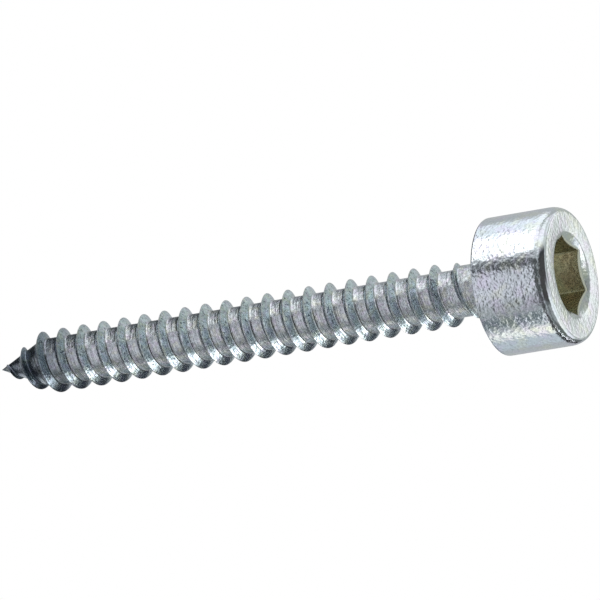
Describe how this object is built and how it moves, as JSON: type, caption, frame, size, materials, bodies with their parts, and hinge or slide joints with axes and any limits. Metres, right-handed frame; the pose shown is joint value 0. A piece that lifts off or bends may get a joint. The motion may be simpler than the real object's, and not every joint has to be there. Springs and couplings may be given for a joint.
{
  "type": "self-tapping screw",
  "caption": "Self-tapping screw with a cylindrical hexagon-socket head, a short plain neck, a coarse thread along its shank and a gimlet point.",
  "frame": {"origin": "middle of the drive face, on the screw's own axis; the screw stands on its head on this face", "axes": "+Z along the shank from the drive face to the point; +X through a corner of the hexagon socket; +Y through a flat of the socket"},
  "size_m": [0.0098, 0.0098, 0.0457],
  "materials": {
    "zinc_plated_steel": "bright zinc plating over steel: satin, faintly mottled and fine-grained, with a slight blue and straw tint"
  },
  "bodies": {
    "root": {"screw": "zinc_plated_steel"}
  },
  "joints": []
}
